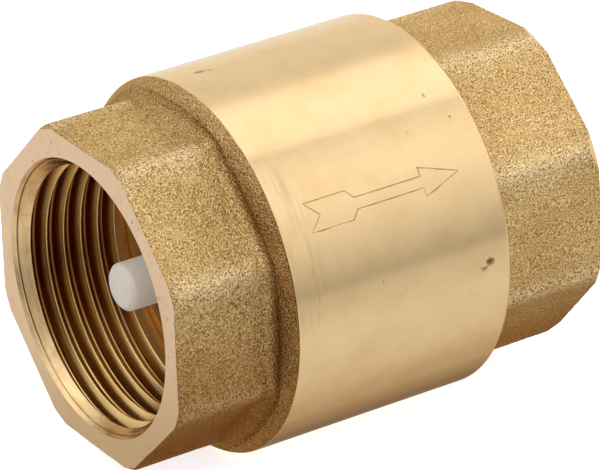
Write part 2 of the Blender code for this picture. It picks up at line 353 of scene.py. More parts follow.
class Finish(Wiring):
    """A Principled material and the wiring of its shader."""

    def __init__(self, name, colour, roughness, metallic):
        self.material = bpy.data.materials.new(name)
        self.material.use_nodes = True
        super().__init__(self.material.node_tree)
        self.shader = self.tree.nodes["Principled BSDF"]
        self.shade(Base_Color=colour, Roughness=roughness, Metallic=metallic)

    def shade(self, **inputs):
        """Feeds the shader's inputs, with _ for the spaces in their names."""
        for key, value in inputs.items():
            self.feed(self.shader.inputs[key.replace("_", " ")], value)

    def place(self):
        return self.node("ShaderNodeTexCoord").outputs["Object"]

    def dirt_and_painted_shade(self):
        """Real dirt and painted shade laid on the mesh, from 0 to 1."""
        made = self.node("ShaderNodeAttribute")
        made.attribute_name = "dirt_and_painted_shade"
        return made.outputs["Fac"]

    def bump(self, layers):
        """Bumps stacked from (height, distance) layers, in metres."""
        normal = {}
        for height, distance in layers:
            made = self.node("ShaderNodeBump", Strength=1.0, Distance=distance, Height=height, **normal)
            normal = {"Normal": made.outputs["Normal"]}
        self.shade(**normal)


def ring_place(finish):
    """Coordinates that change fast along a lathe's feed and slowly round the axis."""
    x, y, z = finish.split(finish.place())
    squares = finish.math("ADD", finish.math("MULTIPLY", y, y), finish.math("MULTIPLY", z, z))
    feed = finish.math("ADD", x, finish.math("SQRT", squares))
    return finish.node("ShaderNodeCombineXYZ", X=feed, Y=y, Z=z).outputs["Vector"]


def cast_brass():
    """Shot-blasted casting: bright grains over brown hollows, darkened with painted shade where the
    dirt_and_painted_shade attribute says.
    """
    finish = Finish("cast_brass", (0.62, 0.42, 0.18), 0.42, 1.0)
    place = finish.place()
    grain = finish.noise(place, 6300.0, 2.0, 0.7)
    lumps = finish.noise(place, 1500.0, 2.0)
    patches = finish.noise(place, 160.0, 3.0)
    pips = finish.cells(place, 5200.0)
    colour = finish.ramp(
        grain,
        [
            (0.32, (0.20, 0.10, 0.025)),
            (0.45, (0.53, 0.335, 0.12)),
            (0.56, (0.73, 0.51, 0.22)),
            (0.68, (0.92, 0.76, 0.47)),
        ],
    )
    shade = finish.ramp(patches, [(0.35, (0.86, 0.82, 0.76)), (0.65, (1.0, 1.0, 1.0))])
    colour = finish.mix(1.0, colour, shade, "MULTIPLY")
    along, _, _ = finish.split(place)
    on_cap = finish.between(along, BARREL_END - 0.5 * MM, BARREL_END + 1.0 * MM)
    colour = finish.mix(on_cap, colour, finish.mix(1.0, colour, (1.08, 1.08, 1.11), "MULTIPLY"))
    reach = finish.length(finish.stretched(place, (0.0, 1.0, 1.0)))
    ridges = finish.between(reach, RIDGES_FROM, RIDGES_FULL)
    on_octagon = finish.math("ADD", finish.between(along, SHOULDER_FOOT + 0.6 * MM, SHOULDER_FOOT), on_cap)
    on_ridges = finish.math("MULTIPLY", ridges, on_octagon)
    # Along the cast ridges the grains are lightened: wear and a painted highlight.
    ridge_wear_and_painted_highlight = finish.math("MULTIPLY", finish.between(grain, 0.40, 0.58), on_ridges)
    colour = finish.mix(finish.math("MULTIPLY", ridge_wear_and_painted_highlight, 0.5), colour, (0.97, 0.80, 0.52))
    # The attribute paints shade on the cast skin: underneath the octagons and on the inlet's shoulder.
    dirt_and_painted_shade = finish.mix(finish.dirt_and_painted_shade(), (1.0, 1.0, 1.0), (0.49, 0.27, 0.12))
    colour = finish.mix(1.0, colour, dirt_and_painted_shade, "MULTIPLY")
    rough = finish.spread(lumps, 0.30, 0.50)
    finish.shade(Base_Color=colour, Roughness=rough, Specular_Tint=(0.90, 0.76, 0.56))
    finish.bump([(lumps, 0.08 * MM), (pips, 0.07 * MM), (grain, 0.10 * MM)])
    return finish.material


def turned_brass():
    """Turned skin: champagne gold with fine feed marks and faint stains."""
    finish = Finish("turned_brass", (0.86, 0.66, 0.36), 0.26, 1.0)
    place = finish.place()
    rings = ring_place(finish)
    feed = finish.noise(finish.stretched(rings, (9000.0, 90.0, 90.0)), 1.0, 3.0)
    brush = finish.noise(finish.stretched(rings, (2500.0, 160.0, 160.0)), 1.0, 4.0, 0.65)
    stains = finish.noise(place, 300.0, 4.0, 0.6)
    golds = [(0.30, (0.74, 0.515, 0.258)), (0.50, (0.78, 0.555, 0.29)), (0.70, (0.80, 0.58, 0.315))]
    colour = finish.ramp(stains, golds)
    dirt_and_painted_shade = finish.dirt_and_painted_shade()
    colour = finish.mix(dirt_and_painted_shade, colour, (0.17, 0.10, 0.035))
    rough = finish.math("ADD", finish.spread(brush, 0.09, 0.18), finish.math("MULTIPLY", dirt_and_painted_shade, 0.4))
    finish.shade(Base_Color=colour, Roughness=rough, Specular_Tint=(1.0, 0.94, 0.84))
    finish.bump([(brush, 0.004 * MM), (feed, 0.002 * MM)])
    return finish.material


def faced_brass():
    """The turned end faces: paler and pinker, with small marks, and a painted reflection of the floor's shade
    that makes them darker and yellower towards the underside.
    """
    finish = Finish("faced_brass", (0.78, 0.60, 0.44), 0.36, 1.0)
    place = finish.place()
    rings = ring_place(finish)
    feed = finish.noise(finish.stretched(rings, (7000.0, 120.0, 120.0)), 1.0, 3.0)
    stains = finish.noise(place, 420.0, 4.0, 0.6)
    specks = finish.noise(place, 1500.0, 2.0, 0.7)
    # Painted reflection: the face darkens towards the underside, where it would mirror the shaded floor by
    # the valve.
    rise = finish.between(finish.dot(place, (0.0, 0.342, 0.940)), -14.0 * MM, 6.0 * MM)
    golds = [(0.0, (0.62, 0.42, 0.20)), (0.45, (0.84, 0.60, 0.37)), (1.0, (0.93, 0.67, 0.44))]
    shades = [(0.30, (0.86, 0.82, 0.77)), (0.5, (0.96, 0.95, 0.93)), (0.72, (1.0, 1.0, 1.0))]
    colour = finish.ramp(rise, golds)
    shade = finish.ramp(stains, shades)
    mark = finish.ramp(specks, [(0.27, (0.42, 0.30, 0.20)), (0.34, (1.0, 1.0, 1.0))])
    colour = finish.mix(1.0, finish.mix(1.0, colour, shade, "MULTIPLY"), mark, "MULTIPLY")
    finish.shade(Base_Color=colour, Roughness=finish.spread(stains, 0.28, 0.44))
    finish.bump([(stains, 0.01 * MM), (feed, 0.002 * MM)])
    return finish.material


def mouth_brass():
    """The cone that leads into a thread: dull, streaked round the axis."""
    finish = Finish("mouth_brass", (0.76, 0.54, 0.31), 0.24, 1.0)
    rings = ring_place(finish)
    streaks = finish.noise(finish.stretched(rings, (4200.0, 260.0, 260.0)), 1.0, 4.0, 0.65)
    stains = finish.noise(finish.place(), 520.0, 3.0, 0.6)
    golds = [(0.28, (0.62, 0.385, 0.165)), (0.5, (0.81, 0.555, 0.285)), (0.72, (0.94, 0.715, 0.405))]
    colour = finish.ramp(streaks, golds)
    shade = finish.ramp(stains, [(0.32, (0.80, 0.75, 0.66)), (0.5, (1.0, 1.0, 1.0))])
    colour = finish.mix(1.0, colour, shade, "MULTIPLY")
    # The attribute darkens the thread's roots where they run into the cone, a painted shade, and the line
    # round the cone.
    colour = finish.mix(finish.dirt_and_painted_shade(), colour, (0.16, 0.08, 0.03))
    finish.shade(Base_Color=colour, Roughness=finish.spread(streaks, 0.16, 0.36))
    finish.bump([(streaks, 0.02 * MM), (stains, 0.01 * MM)])
    return finish.material


def threaded_brass():
    """Cut thread: clean on the crests, with painted shade making the roots brown, and chatter along the
    helix.
    """
    finish = Finish("threaded_brass", (0.80, 0.56, 0.24), 0.2, 1.0)
    rings = ring_place(finish)
    chatter = finish.noise(finish.stretched(rings, (5000.0, 140.0, 140.0)), 1.0, 4.0, 0.6)
    colour = finish.ramp(chatter, [(0.30, (0.80, 0.50, 0.17)), (0.7, (0.96, 0.69, 0.30))])
    # Painted shade: the attribute browns the thread's roots and the deep bore.
    colour = finish.mix(finish.dirt_and_painted_shade(), colour, (0.25, 0.095, 0.03))
    finish.shade(Base_Color=colour, Roughness=finish.spread(chatter, 0.12, 0.26))
    finish.bump([(chatter, 0.006 * MM)])
    return finish.material


def white_acetal():
    finish = Finish("white_acetal", (0.80, 0.78, 0.75), 0.42, 0.0)
    place = finish.place()
    cloud = finish.noise(place, 260.0, 2.0)
    skin = finish.noise(place, 2600.0, 2.0)
    colour = finish.ramp(cloud, [(0.3, (0.64, 0.585, 0.525)), (0.7, (0.69, 0.645, 0.58))])
    finish.shade(Base_Color=colour, Roughness=finish.spread(skin, 0.36, 0.5))
    # A painted glow: the emission stands in for light passing through the acetal.
    finish.shade(Emission_Color=(0.80, 0.70, 0.60), Emission_Strength=0.20)
    finish.shade(Subsurface_Weight=1.0, Subsurface_Radius=(1.0, 0.9, 0.8), Subsurface_Scale=2.5 * MM)
    finish.bump([(skin, 0.006 * MM)])
    return finish.material


def nitrile_rubber():
    finish = Finish("nitrile_rubber", (0.025, 0.025, 0.027), 0.6, 0.0)
    skin = finish.noise(finish.place(), 1800.0, 3.0)
    colour = finish.ramp(skin, [(0.3, (0.018, 0.018, 0.02)), (0.7, (0.04, 0.04, 0.042))])
    finish.shade(Base_Color=colour, Roughness=finish.spread(skin, 0.5, 0.72))
    finish.bump([(skin, 0.01 * MM)])
    return finish.material


def spring_steel():
    finish = Finish("spring_steel", (0.62, 0.61, 0.60), 0.24, 1.0)
    drawn = finish.noise(finish.place(), 3600.0, 3.0)
    colour = finish.ramp(drawn, [(0.3, (0.50, 0.49, 0.48)), (0.7, (0.68, 0.67, 0.66))])
    finish.shade(Base_Color=colour, Roughness=finish.spread(drawn, 0.18, 0.34))
    finish.bump([(drawn, 0.004 * MM)])
    return finish.material


CAST = cast_brass()
TURNED = turned_brass()
FACED = faced_brass()
MOUTH = mouth_brass()
THREADED = threaded_brass()
ACETAL = white_acetal()
RUBBER = nitrile_rubber()
STEEL = spring_steel()
BRASS_FINISHES = [CAST, TURNED, FACED, MOUTH, THREADED]


# ---------------------------------------------------------------- brass shapes


def octagon(angles, roll):
    """Radius of the octagon, with rounded ridges, at each angle."""
    eighth = TURN / 8
    from_flat = (angles - roll + eighth / 2) % eighth - eighth / 2
    from_ridge = eighth / 2 - np.abs(from_flat)
    flat = FLAT_RADIUS / np.cos(from_flat)
    centre = (FLAT_RADIUS - CORNER_ROUND) / math.cos(eighth / 2)
    reach = math.atan2(CORNER_ROUND * math.sin(eighth / 2), centre + CORNER_ROUND * math.cos(eighth / 2))
    sideways = np.minimum(centre * np.sin(from_ridge), CORNER_ROUND)
    ridge = centre * np.cos(from_ridge) + np.sqrt(CORNER_ROUND**2 - sideways**2)
    return np.where(from_ridge < reach, ridge, flat)


def cast_relief(x, r, angles, seed):
    """Height of the cast skin over its plain shape: slow waves, lumps and grains."""
    points = np.stack([x + 0 * r, r * np.cos(angles), r * np.sin(angles)], axis=-1).reshape(-1, 3)
    relief = 0.035 * MM * smooth_noise(points, 4.0 * MM, seed)
    relief += 0.014 * MM * smooth_noise(points, 0.55 * MM, seed + 1)
    relief += 0.016 * MM * smooth_noise(points, 0.22 * MM, seed + 2)
    return relief.reshape(np.shape(x + 0 * r))


def thread_depth(x, angles, offset):
    """Depth of the cut thread, from 0 on its crests to 1 in its roots, with both rounded."""
    phase = (x / THREAD_PITCH - angles / TURN - offset) % 1.0
    rise = np.minimum(phase, 1 - phase) * 2
    low = rise**2 / (2 * CREST_ROUNDING)
    middle = rise - CREST_ROUNDING / 2
    high = 1 - CREST_ROUNDING / 2 - ROOT_ROUNDING / 2 - (1 - rise) ** 2 / (2 * ROOT_ROUNDING)
    curved = np.where(rise < CREST_ROUNDING, low, np.where(rise > 1 - ROOT_ROUNDING, high, middle))
    return curved / (1 - CREST_ROUNDING / 2 - ROOT_ROUNDING / 2)


def lay_socket(skin, face, way, depth, relief_length, phase):
    """The thread and its lead-in, from the thread's end out to the mouth. `way` is +1 where inward is +X."""
    angles = even_angles(SOCKET_SIDES)
    steps = np.arange(0.0, depth - relief_length, 0.04 * MM)[::-1, None]
    cone = MOUTH_RADIUS - steps * (MOUTH_RADIUS - THREAD_MINOR) / MOUTH_CONE
    share = thread_depth(face + way * steps, angles[None, :], phase)
    run_in = THREAD_RUN_IN * np.clip(1 - steps / MOUTH_CONE, 0, 1)
    line = np.clip(1 - np.abs(steps - MOUTH_LINE) / MOUTH_LINE_HALF_WIDTH, 0, 1) + 0 * angles
    radius = np.maximum(cone, THREAD_MINOR + THREAD_DEPTH * share - run_in) + 0.04 * MM * line
    # Painted shade: the thread's roots are darkened, less on the bottom of the socket, where more light
    # reaches.
    bottom = eased(-np.sin(angles), 0.45, 0.92)
    dirt_and_painted_shade = np.where(radius > cone + 0.02 * MM, eased(share, 0.0, 0.6) * (0.96 - 0.62 * bottom), 0.0)
    dirt_and_painted_shade = np.maximum(dirt_and_painted_shade, 0.8 * line)
    deep = steps[:, 0] > MOUTH_CONE - 0.1 * MM
    skin.lay(face + way * steps[deep], radius[deep], angles, THREADED, dirt_and_painted_shade=dirt_and_painted_shade[deep])
    skin.lay(face + way * steps[~deep], radius[~deep], angles, MOUTH, crisp=True, dirt_and_painted_shade=dirt_and_painted_shade[~deep])


# The sockets: how far their threads and the relief behind them reach, and the crests' place in turns.
SOCKET_RELIEF_RADIUS = 13.2 * MM
INLET_DEPTH = 12.1 * MM
INLET_RELIEF = 1.7 * MM
OUTLET_DEPTH = 11.2 * MM
OUTLET_RELIEF = 1.6 * MM
INLET_PHASE = 0.6957
OUTLET_PHASE = 0.2

OUTSIDE_ANGLES = even_angles(936)
HIDDEN_ANGLES = even_angles(PROFILE_SIDES)

# The flow arrow, cut into the barrel: its distances along the flow, its half widths and its groove.
ARROW_ANGLE = math.radians(146.9)
ARROW_TAIL = 14.2 * MM
ARROW_NOTCH = 15.5 * MM
ARROW_FEATHER_END = 18.6 * MM
ARROW_SHAFT_START = 19.3 * MM
ARROW_HEAD = 26.4 * MM
ARROW_TIP = 30.3 * MM
ARROW_HALF_WIDTH = 1.37 * MM
ARROW_SHAFT_HALF_WIDTH = 0.54 * MM
GROOVE_HALF_WIDTH = 0.07 * MM
GROOVE_DEPTH = 0.055 * MM
GROOVE_LIP = 0.008 * MM


def arrow_outline():
    """Points round the arrow, as distances along the flow and to its side."""
    side = [
        (ARROW_NOTCH, 0.0),
        (ARROW_TAIL, ARROW_HALF_WIDTH),
        (ARROW_FEATHER_END, ARROW_HALF_WIDTH),
        (ARROW_SHAFT_START, ARROW_SHAFT_HALF_WIDTH),
        (ARROW_HEAD, ARROW_SHAFT_HALF_WIDTH),
        (ARROW_HEAD, ARROW_HALF_WIDTH),
        (ARROW_TIP, 0.0),
    ]
    other = [(x, -y) for x, y in side[1:-1]]
    return side + other[::-1]


def groove_relief(x, across, outline):
    """Relief of a V groove with a raised lip along a closed outline, and the dirt in it."""
    nearest = np.full(np.shape(x + 0 * across), 1.0)
    for (x0, y0), (x1, y1) in zip(outline, outline[1:] + outline[:1]):
        length_squared = (x1 - x0) ** 2 + (y1 - y0) ** 2
        along = ((x - x0) * (x1 - x0) + (across - y0) * (y1 - y0)) / length_squared
        along = np.clip(along, 0, 1)
        away = np.hypot(x - x0 - along * (x1 - x0), across - y0 - along * (y1 - y0))
        nearest = np.minimum(nearest, away)
    share = nearest / GROOVE_HALF_WIDTH
    groove = np.clip(1 - share, 0, 1)
    lip = GROOVE_LIP * np.clip(1 - np.abs(share - 1.5) / 0.5, 0, 1)
    grid = 0 * x + 0 * across
    points = np.stack([x + grid, across + grid, grid], axis=-1).reshape(-1, 3)
    strength = 0.55 + 0.45 * smooth_noise(points, 1.1 * MM, GROOVE_SEED).reshape(np.shape(groove))
    return lip - GROOVE_DEPTH * groove, np.clip(1.6 * groove, 0, 1) * strength


def barrel_angles():
    """Angles round the barrel: dense across the arrow, middling over the side with most of the nicks."""
    half = (ARROW_HALF_WIDTH + 0.25 * MM) / BARREL_RADIUS
    middling = 0.2 * MM / BARREL_RADIUS
    side_start, side_end = math.radians(70), math.radians(186)
    angles = np.concatenate(
        [
            np.arange(side_start, ARROW_ANGLE - half - middling / 2, middling),
            np.arange(ARROW_ANGLE - half, ARROW_ANGLE + half, 0.04 * MM / BARREL_RADIUS),
            np.arange(ARROW_ANGLE + half + middling / 2, side_end, middling),
            np.linspace(side_end + middling / 2, side_start + TURN, 150)[:-1],
        ]
    )
    return np.sort(angles % TURN)


def barrel_stations():
    """Distances along the barrel, dense along the arrow and the nicks."""
    before = np.linspace(BARREL_START + 0.1 * MM, 12.8 * MM, 8)
    along = np.arange(12.9 * MM, 32.5 * MM, 0.045 * MM)
    after = np.linspace(32.6 * MM, BARREL_END - 0.45 * MM, 6)
    return np.concatenate([before, along, after])


# Nicks in the barrel: distance along the flow, angle in degrees, half length, half width and depth, in mm.
NICKS = [
    (31.65, 175.6, 0.52, 0.38, 0.070),
    (31.0, 177.2, 0.45, 0.22, 0.030),
    (31.7, 131.0, 0.16, 0.16, 0.030),
    (30.4, 122.0, 0.14, 0.22, 0.030),
    (13.3, 162.5, 0.06, 1.00, 0.012),
    (13.45, 168.0, 0.06, 1.30, 0.014),
    (14.2, 82.5, 0.70, 0.36, 0.026),
    (15.1, 83.5, 0.45, 0.26, 0.016),
    (20.2, 171.0, 0.10, 0.16, 0.020),
    (26.9, 131.5, 0.10, 0.12, 0.020),
    (12.9, 140.0, 0.05, 0.70, 0.008),
]


def nick_relief(x, angles):
    """Relief of the nicks, and the dirt in them."""
    relief = 0 * x + 0 * angles
    dirt_and_painted_shade = 0 * x + 0 * angles
    for station, degrees, half_length, half_width, depth in NICKS:
        along = (x - station * MM) / (half_length * MM)
        turned_by = (angles - math.radians(degrees) + math.pi) % TURN - math.pi
        across = turned_by * BARREL_RADIUS / (half_width * MM)
        bowl = np.clip(1 - along**2 - across**2, 0, 1)
        relief -= depth * MM * bowl
        dirt_and_painted_shade = np.maximum(dirt_and_painted_shade, np.clip(depth / 0.04, 0.3, 1.0) * np.sqrt(bowl))
    return relief, dirt_and_painted_shade


def brush_marks(x, angles):
    """Faint stains drawn out round the barrel where it was brushed, beside the shoulder."""
    grid = 0 * x + 0 * angles
    points = np.stack([x / 0.30 + grid, angles * BARREL_RADIUS / 3.2 + grid, grid], axis=-1)
    streaks = smooth_noise(points.reshape(-1, 3), MM, BRUSH_SEED).reshape(points.shape[:2])
    beside = 1 - eased(x, 13.0 * MM, 15.6 * MM)
    facing = eased(np.degrees(angles), 118, 132) * (1 - eased(np.degrees(angles), 172, 184))
    return 0.24 * np.clip(streaks, 0, 1) * beside * facing


def painted_underside_shade(angles):
    """Painted shade round the cast octagons: none on top, growing down the side and underneath."""
    return 0.95 * eased(np.degrees(angles), 148, 232) * (1 - eased(np.degrees(angles), 300, 360))


def face_and_chamfer(skin, face, way, roll, facing, slot, dirt_and_painted_shade, seed):
    """Rings from the mouth of a socket out over its end face and the turned corners of the octagon."""
    plain = octagon(OUTSIDE_ANGLES, roll)
    edge_relief = cast_relief(np.full_like(plain, face), plain, OUTSIDE_ANGLES, seed)
    outside = plain + edge_relief
    chamfer = np.maximum(EDGE_BREAK, outside - facing)
    face_edge = outside - chamfer
    shares = np.linspace(0.12, 1.0, 6)[:, None]
    skin.lay(face, MOUTH_RADIUS + shares * (face_edge - MOUTH_RADIUS), OUTSIDE_ANGLES, FACED, crisp=True)
    steps = np.linspace(0.25, 1.0, 4)[:, None]
    depth = way * CHAMFER_SLOPE * chamfer
    crisp = slot != CAST
    skin.lay(face + steps * depth, face_edge + steps * chamfer, OUTSIDE_ANGLES, slot, crisp, dirt_and_painted_shade)
    return face + depth, plain


def lay_cast_outside(skin):
    """The inlet's end face, its octagon, and the shoulder with a fillet at its foot and a rounded crown."""
    # Painted shade on the octagon's flats, darkest underneath.
    flats_painted_shade = painted_underside_shade(OUTSIDE_ANGLES)
    octagon_start, plain = face_and_chamfer(skin, 0.0, 1.0, 0.0, INLET_FACING, CAST, flats_painted_shade, INLET_SEED)
    height = SHOULDER_RADIUS - plain
    degrees = np.degrees(OUTSIDE_ANGLES)
    soft = 1 - eased(degrees, 98, 122) * (1 - eased(degrees, 200, 222))
    fillet = np.minimum((1.0 + 0.9 * soft) * MM, 0.62 * height)
    crown = np.minimum(1.2 * MM, height - fillet - 0.02 * MM)
    wall = BARREL_START - CROWN_LENGTH
    octagon_end = wall - fillet
    count = int(9.0 * MM / CAST_STEP)
    share = (np.arange(1, count + 1) / count)[:, None]
    x = octagon_start + share * (octagon_end - octagon_start)
    r = plain + 0 * x
    r = r + cast_relief(x, r, OUTSIDE_ANGLES, INLET_SEED)
    skin.lay(x, r, OUTSIDE_ANGLES, CAST, dirt_and_painted_shade=flats_painted_shade)
    bend = np.radians(np.linspace(7.5, 90, 12))[:, None]
    x_fillet = octagon_end + fillet * np.sin(bend)
    r_fillet = plain + fillet * (1 - np.cos(bend))
    share = np.linspace(0.12, 0.88, 8)[:, None]
    r_wall = plain + fillet + share * (height - fillet - crown)
    x_wall = wall + 0 * r_wall
    start, end = CROWN_BEND_START, CROWN_BEND_END
    turn = start + (end - start) * np.linspace(0.08, 1.0, 12)[:, None]
    along = (math.cos(start) - np.cos(turn)) / (math.cos(start) - math.cos(end))
    out = (np.sin(turn) - math.sin(start)) / (math.sin(end) - math.sin(start))
    x_crown = wall + CROWN_LENGTH * along + 0 * plain
    r_crown = SHOULDER_RADIUS - crown + crown * out
    x = np.concatenate([x_fillet, x_wall, x_crown])
    r = np.concatenate([r_fillet, r_wall, r_crown])
    relief = cast_relief(x, r, OUTSIDE_ANGLES, INLET_SEED)
    relief[-1] *= 0.5
    tilt = np.concatenate([bend, 0 * share + math.pi / 2, math.pi / 2 - turn])
    x = x - relief * np.sin(tilt)
    r = r + relief * np.cos(tilt)
    rise = eased(np.arange(len(x)), 2, 16)[:, None]
    # Painted shade on the shoulder, from near the top round the front and underneath, blended in from the
    # flats' painted shade.
    shoulder_painted_shade = SHOULDER_PAINTED_SHADE * eased(degrees, 80, 165) * (1 - eased(degrees, 290, 360))
    dirt_and_painted_shade = flats_painted_shade * (1 - rise) + shoulder_painted_shade * rise
    skin.lay(x, r, OUTSIDE_ANGLES, CAST, crisp=True, dirt_and_painted_shade=dirt_and_painted_shade)


def lay_barrel(skin):
    """The turned barrel with its arrow, its nicks and its rounded outlet edge."""
    angles = barrel_angles()
    top = BARREL_RADIUS - GROOVE_LIP
    skin.lay(BARREL_START + 0.05 * MM, top, angles, TURNED, crisp=True)
    x = barrel_stations()[:, None]
    across = (((angles - ARROW_ANGLE + math.pi) % TURN - math.pi) * BARREL_RADIUS)[None, :]
    groove, groove_dirt = groove_relief(x, across, arrow_outline())
    nicks, nick_dirt = nick_relief(x, angles[None, :])
    dirt_and_painted_shade = np.maximum(np.maximum(groove_dirt, nick_dirt), brush_marks(x, angles[None, :]))
    skin.lay(x + 0 * across, top + groove + nicks, angles, TURNED, dirt_and_painted_shade=dirt_and_painted_shade)
    bend = np.radians(np.linspace(0, 90, 8))[:, None]
    skin.lay(
        BARREL_END - BARREL_ROUND + BARREL_ROUND * np.sin(bend),
        top - BARREL_ROUND + BARREL_ROUND * np.cos(bend),
        angles,
        TURNED,
    )


def make_inlet_body():
    skin = Skin()
    # From the seat outwards through the socket to its mouth.
    skin.turn([(SEAT, PORT_RADIUS), (PORT_START, PORT_RADIUS)], HIDDEN_ANGLES, TURNED)
    bore = THREAD_MINOR + 0.1 * MM
    step_edge = SOCKET_RELIEF_RADIUS - 0.3 * MM
    circle = even_angles(SOCKET_SIDES)
    # The bore behind the thread and the relief's wall are darkened with painted shade.
    skin.turn([(PORT_START, bore), (INLET_DEPTH, bore)], circle, THREADED, dirt_and_painted_shade=0.6)
    skin.turn([(INLET_DEPTH, bore + 0.08 * MM), (INLET_DEPTH, step_edge)], circle, THREADED)
    relief_start = INLET_DEPTH - INLET_RELIEF + 0.2 * MM
    relief_wall = [(INLET_DEPTH, SOCKET_RELIEF_RADIUS), (relief_start, SOCKET_RELIEF_RADIUS)]
    skin.turn(relief_wall, circle, THREADED, dirt_and_painted_shade=0.7)
    lay_socket(skin, 0.0, 1.0, INLET_DEPTH, INLET_RELIEF, INLET_PHASE)
    lay_cast_outside(skin)
    lay_barrel(skin)

    # The inside that the cap covers, back to the seat.
    skin.turn(
        [
            (BARREL_END, JOINT_MOUTH),
            (CHAMBER_END, JOINT_BORE),
            (CHAMBER_END, CHAMBER_RADIUS),
            (SEAT_FOOT, CHAMBER_RADIUS),
            (SEAT_FOOT, SEAT_FOOT_RADIUS),
            (SEAT, SEAT_RADIUS),
        ],
        HIDDEN_ANGLES,
        TURNED,
    )
    return skin.build("brass_inlet_body", BRASS_FINISHES)


def make_outlet_cap():
    skin = Skin()
    # From the passage outwards through the socket to its mouth, and over the face and the octagon.
    socket_end = LENGTH - OUTLET_DEPTH
    relief_end = socket_end + OUTLET_RELIEF - 0.2 * MM
    skin.turn([(PASSAGE_START, PASSAGE_RADIUS), (socket_end, PASSAGE_RADIUS)], HIDDEN_ANGLES, TURNED)
    relief_wall = [(socket_end, SOCKET_RELIEF_RADIUS), (relief_end, SOCKET_RELIEF_RADIUS)]
    skin.turn(relief_wall, even_angles(SOCKET_SIDES), THREADED)
    lay_socket(skin, LENGTH, -1.0, OUTLET_DEPTH, OUTLET_RELIEF, OUTLET_PHASE)
    octagon_start, plain = face_and_chamfer(
        skin, LENGTH, -1.0, CAP_ROLL, OUTLET_FACING, TURNED, 0.0, OUTLET_SEED
    )
    octagon_end = BARREL_END + 0.03 * MM
    count = int(11.5 * MM / CAST_STEP)
    share = (np.arange(1, count + 1) / count)[:, None]
    x = octagon_start + share * (octagon_end - octagon_start)
    r = plain + 0 * x
    # Painted shade on the cap's octagon, darkest underneath.
    dirt_and_painted_shade = painted_underside_shade((OUTSIDE_ANGLES - math.radians(30)) % TURN)
    r = r + cast_relief(x, r, OUTSIDE_ANGLES, OUTLET_SEED)
    skin.lay(x, r, OUTSIDE_ANGLES, CAST, crisp=True, dirt_and_painted_shade=dirt_and_painted_shade)

    # The spigot inside the barrel, and its bore back to the passage.
    skin.turn(
        [
            (octagon_end, SPIGOT_RADIUS),
            (RING_GROOVE_END, SPIGOT_RADIUS),
            (RING_GROOVE_END, RING_GROOVE_RADIUS),
            (RING_GROOVE_START, RING_GROOVE_RADIUS),
            (RING_GROOVE_START, SPIGOT_RADIUS),
            (SPIGOT_START + SPIGOT_BREAK, SPIGOT_RADIUS),
            (SPIGOT_START, SPIGOT_RADIUS - SPIGOT_BREAK),
            (SPIGOT_START, SPIGOT_BORE),
            (PASSAGE_START, SPIGOT_BORE),
        ],
        HIDDEN_ANGLES,
        TURNED,
    )
    return skin.build("brass_outlet_cap", BRASS_FINISHES)


inlet_body = make_inlet_body()
outlet_cap = make_outlet_cap()
for piece, node in ((inlet_body, "inlet_body"), (outlet_cap, "outlet_cap")):
    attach(piece, BODY)
    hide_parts(node)


# ---------------------------------------------------------------- inner pieces

SPRING_START = 20.9 * MM
SPRING_END = 30.3 * MM
SPRING_TURNS = 5.5
WIRE_RADIUS = 0.3 * MM
WIRE_SIDES = 14
COIL_RADIUS = 5.0 * MM
COIL_STEPS = 56
SPOKE_WIDTH = 1.8 * MM


def rounded(profile, radius):
    """A profile of (x, r) points with its corners rounded, in millimetres. Points on the axis stay."""
    path = []
    corners = [np.array(point, float) for point in profile]
    for before, corner, after in zip(corners[-1:] + corners[:-1], corners, corners[1:] + corners[:1]):
        if corner[1] == 0:
            path.append(corner)
            continue
        reach_in = min(radius, 0.4 * math.dist(before, corner))
        reach_out = min(radius, 0.4 * math.dist(after, corner))
        start = corner + (before - corner) * reach_in / math.dist(before, corner)
        end = corner + (after - corner) * reach_out / math.dist(after, corner)
        path.append(start + 0.15 * (start - corner))
        for t in np.linspace(0.0, 1.0, 6):
            path.append((1 - t) ** 2 * start + 2 * t * (1 - t) * corner + t**2 * end)
        path.append(end + 0.15 * (end - corner))
    return path


def revolved(name, profile, radius, material):
    """A turned or moulded piece from a profile in millimetres."""
    skin = Skin()
    for x, r in rounded(profile, radius):
        angles = even_angles(PROFILE_SIDES) if r > 0 else np.zeros(1)
        skin.lay(x * MM, r * MM, angles, material)
    return skin.build(name, [material])


def add_spokes(piece, count, first_angle, inner, outer, start, end):
    """Adds radial bars with soft edges to a guide. Lengths are in millimetres."""
    joined = bmesh.new()
    joined.from_mesh(piece.data)
    for i in range(count):
        bar = bmesh.ops.create_cube(joined, size=1.0)["verts"]
        size = Vector((end - start, outer - inner, SPOKE_WIDTH / MM)) * MM
        middle = Vector(((start + end) / 2, (inner + outer) / 2, 0.0)) * MM
        turned = Matrix.Rotation(first_angle + i * TURN / count, 4, "X")
        matrix = turned @ Matrix.Translation(middle) @ Matrix.Diagonal(size).to_4x4()
        bmesh.ops.transform(joined, matrix=matrix, verts=bar)
        edges = list({edge for vertex in bar for edge in vertex.link_edges})
        bmesh.ops.bevel(joined, geom=edges, offset=0.22 * MM, segments=4, affect="EDGES", profile=0.5)
    for face in joined.faces:
        face.smooth = True
    joined.to_mesh(piece.data)
    joined.free()


def make_inlet_guide():
    rim = [(12.7, 7.6), (12.7, 11.0), (13.7, 11.0), (13.7, 8.7), (15.3, 8.7), (15.3, 7.6)]
    hub = [(11.2, 2.55), (11.2, 3.4), (11.6, 3.8), (15.2, 3.8), (15.2, 2.55)]
    guide = revolved("inlet_guide_rim", rim, 0.25, ACETAL)
    return with_hub("acetal_inlet_guide", guide, hub, 3, math.pi / 2, (3.4, 8.0, 12.9, 15.0))


